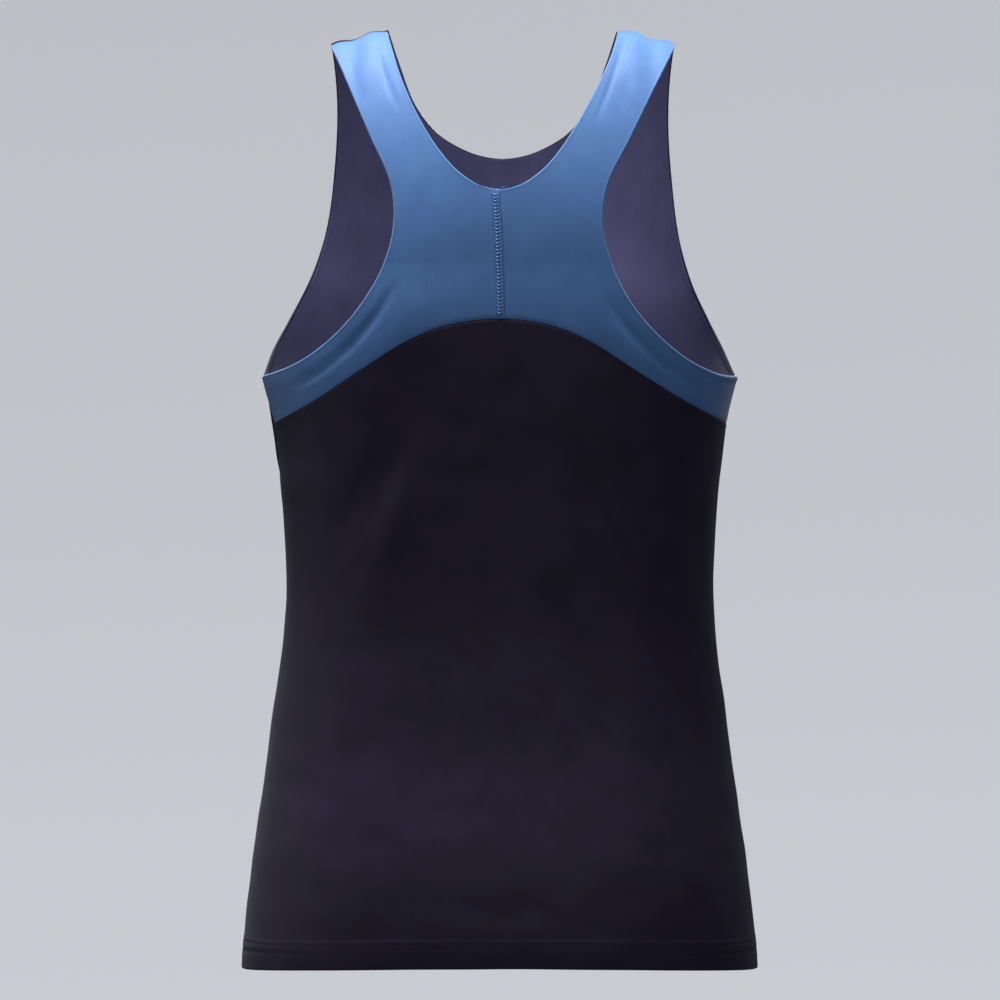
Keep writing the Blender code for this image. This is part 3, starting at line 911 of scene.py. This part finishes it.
# The yoke: two halves of blue satin-faced jersey, each doubled and turned through, so that the neckline and
# the armholes end in a soft roll. A cover stitch joins them down the centre of the back.
BACK_NECKLINE = (
    (76.5, -7.5), (68.6, 19.5), (60.8, 38.0), (49.5, 60.0), (38.5, 77.0), (27.0, 90.0), (13.5, 98.8),
    (0.0, 101.8),
)
BACK_ARMHOLES = {
    "right": (
        (114.6, 3.0), (101.0, 33.0), (93.4, 51.0), (85.6, 68.0), (69.5, 103.0), (67.2, 120.0),
        (72.2, 148.0), (83.3, 172.0), (105.2, 198.0), (132.4, 216.8), (147.0, 221.8), (157.2, ARMPIT),
    ),
    "left": (
        (114.3, 3.0), (100.2, 33.0), (84.1, 68.0), (70.2, 103.0), (68.7, 120.0), (74.2, 148.0),
        (86.6, 172.0), (109.3, 198.0), (139.2, 217.0), (157.2, ARMPIT),
    ),
}
YOKE_KNIT = 1.9
YOKE_EDGE_ROLL = 0.1
CENTRE_RIDGE = 0.3  # how far the cloth stands up beside the centre seam
CENTRE_FROM = 60.0  # the centre seam is looked for from this drop on down
STRAP_CORNER_SINK = 1.6
STRAP_CORNER_REACH = 8.0
# A long trough runs through the stretched band under each armhole, shallower on the right.
TROUGH_DEPTH = 1.2
TROUGH_FROM_ARMHOLE = 12.5
TROUGH_HALF_WIDTH = 3.3
TROUGH_ON_RIGHT = 0.4
# The right band's corner at the armpit rolls outwards.
CORNER_ROLL = 0.7
CORNER_OUT = 150.0
CORNER_REACH = 14.0
# At the band's end the yoke's side seam allowance is thicker on the inside, so that it meets the front.
BAND_END_ALLOWANCE = 1.3
BAND_END_REACH = 14.0
YOKE_COLUMNS = 60
NECK_ROWS = 70
CENTRE_ROWS = 44
BAND_ROWS = 110
ARMHOLE_AT_NECK = 0.36
ARMHOLE_AT_SEAM = 0.53
SEAM_LEAN = smooth([60.0, 119.0, 129.0, 138.0, 150.0, 186.0, 260.0], [-3.4, -3.4, -2.4, -1.4, -0.7, 0.3, 0.3])
LEAN_REACH = 12.0  # how far from the centre seam the cloth is pulled along with its lean
blue_face = knit_cloth(
    "yoke_knit", dark=(0.0525, 0.144, 0.362), light=(0.068, 0.18, 0.432),
    roughness=0.56, specular=0.24, sheen=0.3, bump=0.25,
)
back_neckline = edge("back", BACK_NECKLINE, mirrored=True)
back_armholes = {hand: edge("back", BACK_ARMHOLES[hand]) for hand in HANDS}
armhole_line = lines_of("back", back_armholes)
neckline_line = lines_of("back", dict.fromkeys(HANDS, back_neckline))
YOKE_CREASES = [
    Crease(-83, 28, -75.5, 62, -65, 86, 2.2, -0.7),
    Crease(-97, 44, -94, 62, -89, 80, 3, -0.4),
    Crease(83.5, 24, 74, 65, 62, 92, 1.7, -0.55),
    Crease(88, 40, 80, 66, 72, 86, 4, 0.35),
    Crease(-66, 214, -92, 232, -118, 242, 5, 0.6),
    Crease(-50, 170, -72, 200, -100, 222, 9, 0.5),
    Crease(52, 172, 76, 202, 104, 224, 9, 0.4),
]


YokeEdges = namedtuple("YokeEdges", "arm free middle side seam nearest")


def edges_of_yoke(base, turn, drop):
    """How far each point is from the armhole, any free edge, the centre seam, the side seam and any seam."""
    arm = distance_to(armhole_line, base)
    free = np.minimum(arm, distance_to(neckline_line, base))
    middle = np.where(drop > CENTRE_FROM, np.abs(base[:, 0] - SEAM_LEAN(drop)), 99.0)
    side = from_side_seam(turn, drop)
    seam = np.minimum(distance_to(yoke_seam_line, base), drop * (1 + SHOULDER_GAIN))
    seam = np.minimum(seam, side)
    nearest = np.minimum(np.minimum(free, seam), middle * 2.0)
    return YokeEdges(arm, free, middle, side, seam, nearest)


def yoke_lift(base, turn, drop):
    arm, free, middle, _, seam, nearest = edges_of_yoke(base, turn, drop)
    lift = creased(YOKE_CREASES, base[:, 0], drop) + swelled(base[:, 0], drop)
    in_band = np.clip((drop - 160.0) / 30.0, 0, 1)
    in_band = in_band * np.clip((138.0 - np.abs(base[:, 0])) / 14.0, 0, 1)
    trough = np.exp(-(((arm - TROUGH_FROM_ARMHOLE) / TROUGH_HALF_WIDTH) ** 2))
    lift -= TROUGH_DEPTH * in_band * trough * np.where(turn < 0, 1.0, TROUGH_ON_RIGHT)
    from_corner = (base[:, 0] - CORNER_OUT) / CORNER_REACH
    lift += CORNER_ROLL * np.exp(-(((arm - 2.0) / 1.8) ** 2) - from_corner**2)
    lift += YOKE_EDGE_ROLL * np.exp(-(((free - 0.8) / 0.7) ** 2))
    lift -= np.where(turn < 0, LEFT_STEP, 0.0) * np.exp(-((drop / STEP_REACH) ** 2))
    lift -= STRAP_CORNER_SINK * np.exp(-((drop / STRAP_CORNER_REACH) ** 2) - (free / 3.0) ** 2)
    lift -= SEAM_EASE * np.exp(-((seam / 1.5) ** 2))
    lift += CENTRE_RIDGE * np.exp(-(((middle - 1.0) / 2.6) ** 4)) * np.clip(free / 3.0, 0, 1)
    return lift - (1 - rounded(nearest, YOKE_KNIT / 2)) * YOKE_KNIT / 2


def yoke_wall(base, turn, drop):
    _, free, _, side, _, nearest = edges_of_yoke(base, turn, drop)
    within = rounded(free, STEP_ROUNDING)
    step = np.where(turn > 0, RIGHT_STEP, 0.0) * np.exp(-((drop / STEP_REACH) ** 2)) * within
    at_band = ((drop - BAND_SEAM_DROP) / BAND_END_REACH) ** 4
    band_end = BAND_END_ALLOWANCE * np.exp(-at_band - (side / BAND_SEAM_WIDTH) ** 2) * within
    return np.maximum(THINNEST, YOKE_KNIT * rounded(nearest, YOKE_KNIT / 2)) + step + band_end


down = centre_shares(yoke_seams["right"](1.0)[1] - back_neckline(1.0)[1], CENTRE_ROWS, seam_below=True)
neck_and_centre = np.vstack([
    back_neckline(np.linspace(0, 1, NECK_ROWS + 1)[:-1]),
    back_neckline(1.0) + (yoke_seams["right"](1.0) - back_neckline(1.0)) * down[:, None],
])
yokes = {}
for hand, mirror in HANDS.items():
    inner = np.vstack([neck_and_centre, yoke_seams[hand](np.linspace(1, 0, BAND_ROWS + 1))[1:]])
    outer = np.vstack([
        back_armholes[hand](np.linspace(0, ARMHOLE_AT_NECK, NECK_ROWS + 1))[:-1],
        back_armholes[hand](ARMHOLE_AT_NECK + (ARMHOLE_AT_SEAM - ARMHOLE_AT_NECK) * down),
        back_armholes[hand](np.linspace(ARMHOLE_AT_SEAM, 1, BAND_ROWS + 1))[1:],
    ])
    inner[0, 1] = outer[0, 1] = 0.0
    places = ruled(from_shoulder(inner), from_shoulder(outer), crowded(YOKE_COLUMNS, 0.8, 0.8))
    places[..., 0] = np.clip(places[..., 0], 0.0, math.pi / 2) * mirror
    reach = LEAN_REACH / half_width_at(SHOULDER_ROUNDING)
    leaning = SEAM_LEAN(places[..., 1]) / half_width_at(SHOULDER_ROUNDING)
    places[..., 0] += leaning * np.exp(-((places[..., 0] / reach) ** 2))
    yokes[hand] = cloth_sheet("yoke_panel_" + hand, "back", [places], yoke_lift, yoke_wall, [blue_face])
    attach(yokes[hand], "root")
    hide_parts("yoke_" + hand)

# The centre seam's cover stitch: needle thread between its holes, and slanting threads to their right. Its
# needle holes are dark beads of painted shade.
# The pale thread is partly the stitches' own colour and partly a painted highlight, the light that the raised
# seam catches.
pale_thread_and_seam_highlight = spun_thread("pale_blue_thread_and_seam_highlight", (0.13, 0.27, 0.56), (0.24, 0.41, 0.74))
hole_shade = spun_thread("needle_hole_shade", (0.006, 0.02, 0.07), (0.012, 0.034, 0.1))
CENTRE_PITCH = 2.28
CENTRE_SEAM_TOP = 103.2
CENTRE_SEAM_END = 184.8
SeamRow = namedtuple("SeamRow", "name aside start length width thickness slant height thread")
SEAM_ROWS = [
    SeamRow("needle_thread", -0.5, 0.5, 1.25, 1.6, 0.7, 0.0, 0.3, pale_thread_and_seam_highlight),
    SeamRow("needle_holes", 0.05, 0.0, 0.95, 0.95, 0.4, 0.0, 0.16, hole_shade),
    SeamRow("slanting_threads", 1.5, 0.3, 2.5, 0.42, 0.4, 0.9, 0.18, pale_thread_and_seam_highlight),
    SeamRow("edge_threads", -1.7, 0.1, 1.1, 0.35, 0.4, -0.9, 0.1, pale_thread_and_seam_highlight),
    SeamRow("right_needle_holes", 3.0, 0.0, 0.7, 0.7, 0.3, 0.0, 0.08, hole_shade),
    SeamRow("left_needle_holes", -2.5, 0.5, 0.6, 0.5, 0.3, 0.0, 0.05, hole_shade),
]
for seam_row in SEAM_ROWS:
    below = np.linspace(CENTRE_SEAM_TOP + seam_row.start * CENTRE_PITCH, CENTRE_SEAM_END, 300)
    drop = place_of("back", 0.0 * below, below)[:, 1]
    x = SEAM_LEAN(drop) + seam_row.aside
    turn = x / half_width_at(SHOULDER_ROUNDING)
    lift = yoke_lift(on_form("back", turn, drop), turn, drop) + seam_row.height
    stitch_row(
        "centre_seam_" + seam_row.name,
        *along_cloth("back", turn, drop, lift, CENTRE_PITCH),
        seam_row.length, seam_row.width, seam_row.thickness, seam_row.slant, seam_row.thread, "yoke_knit",
    )
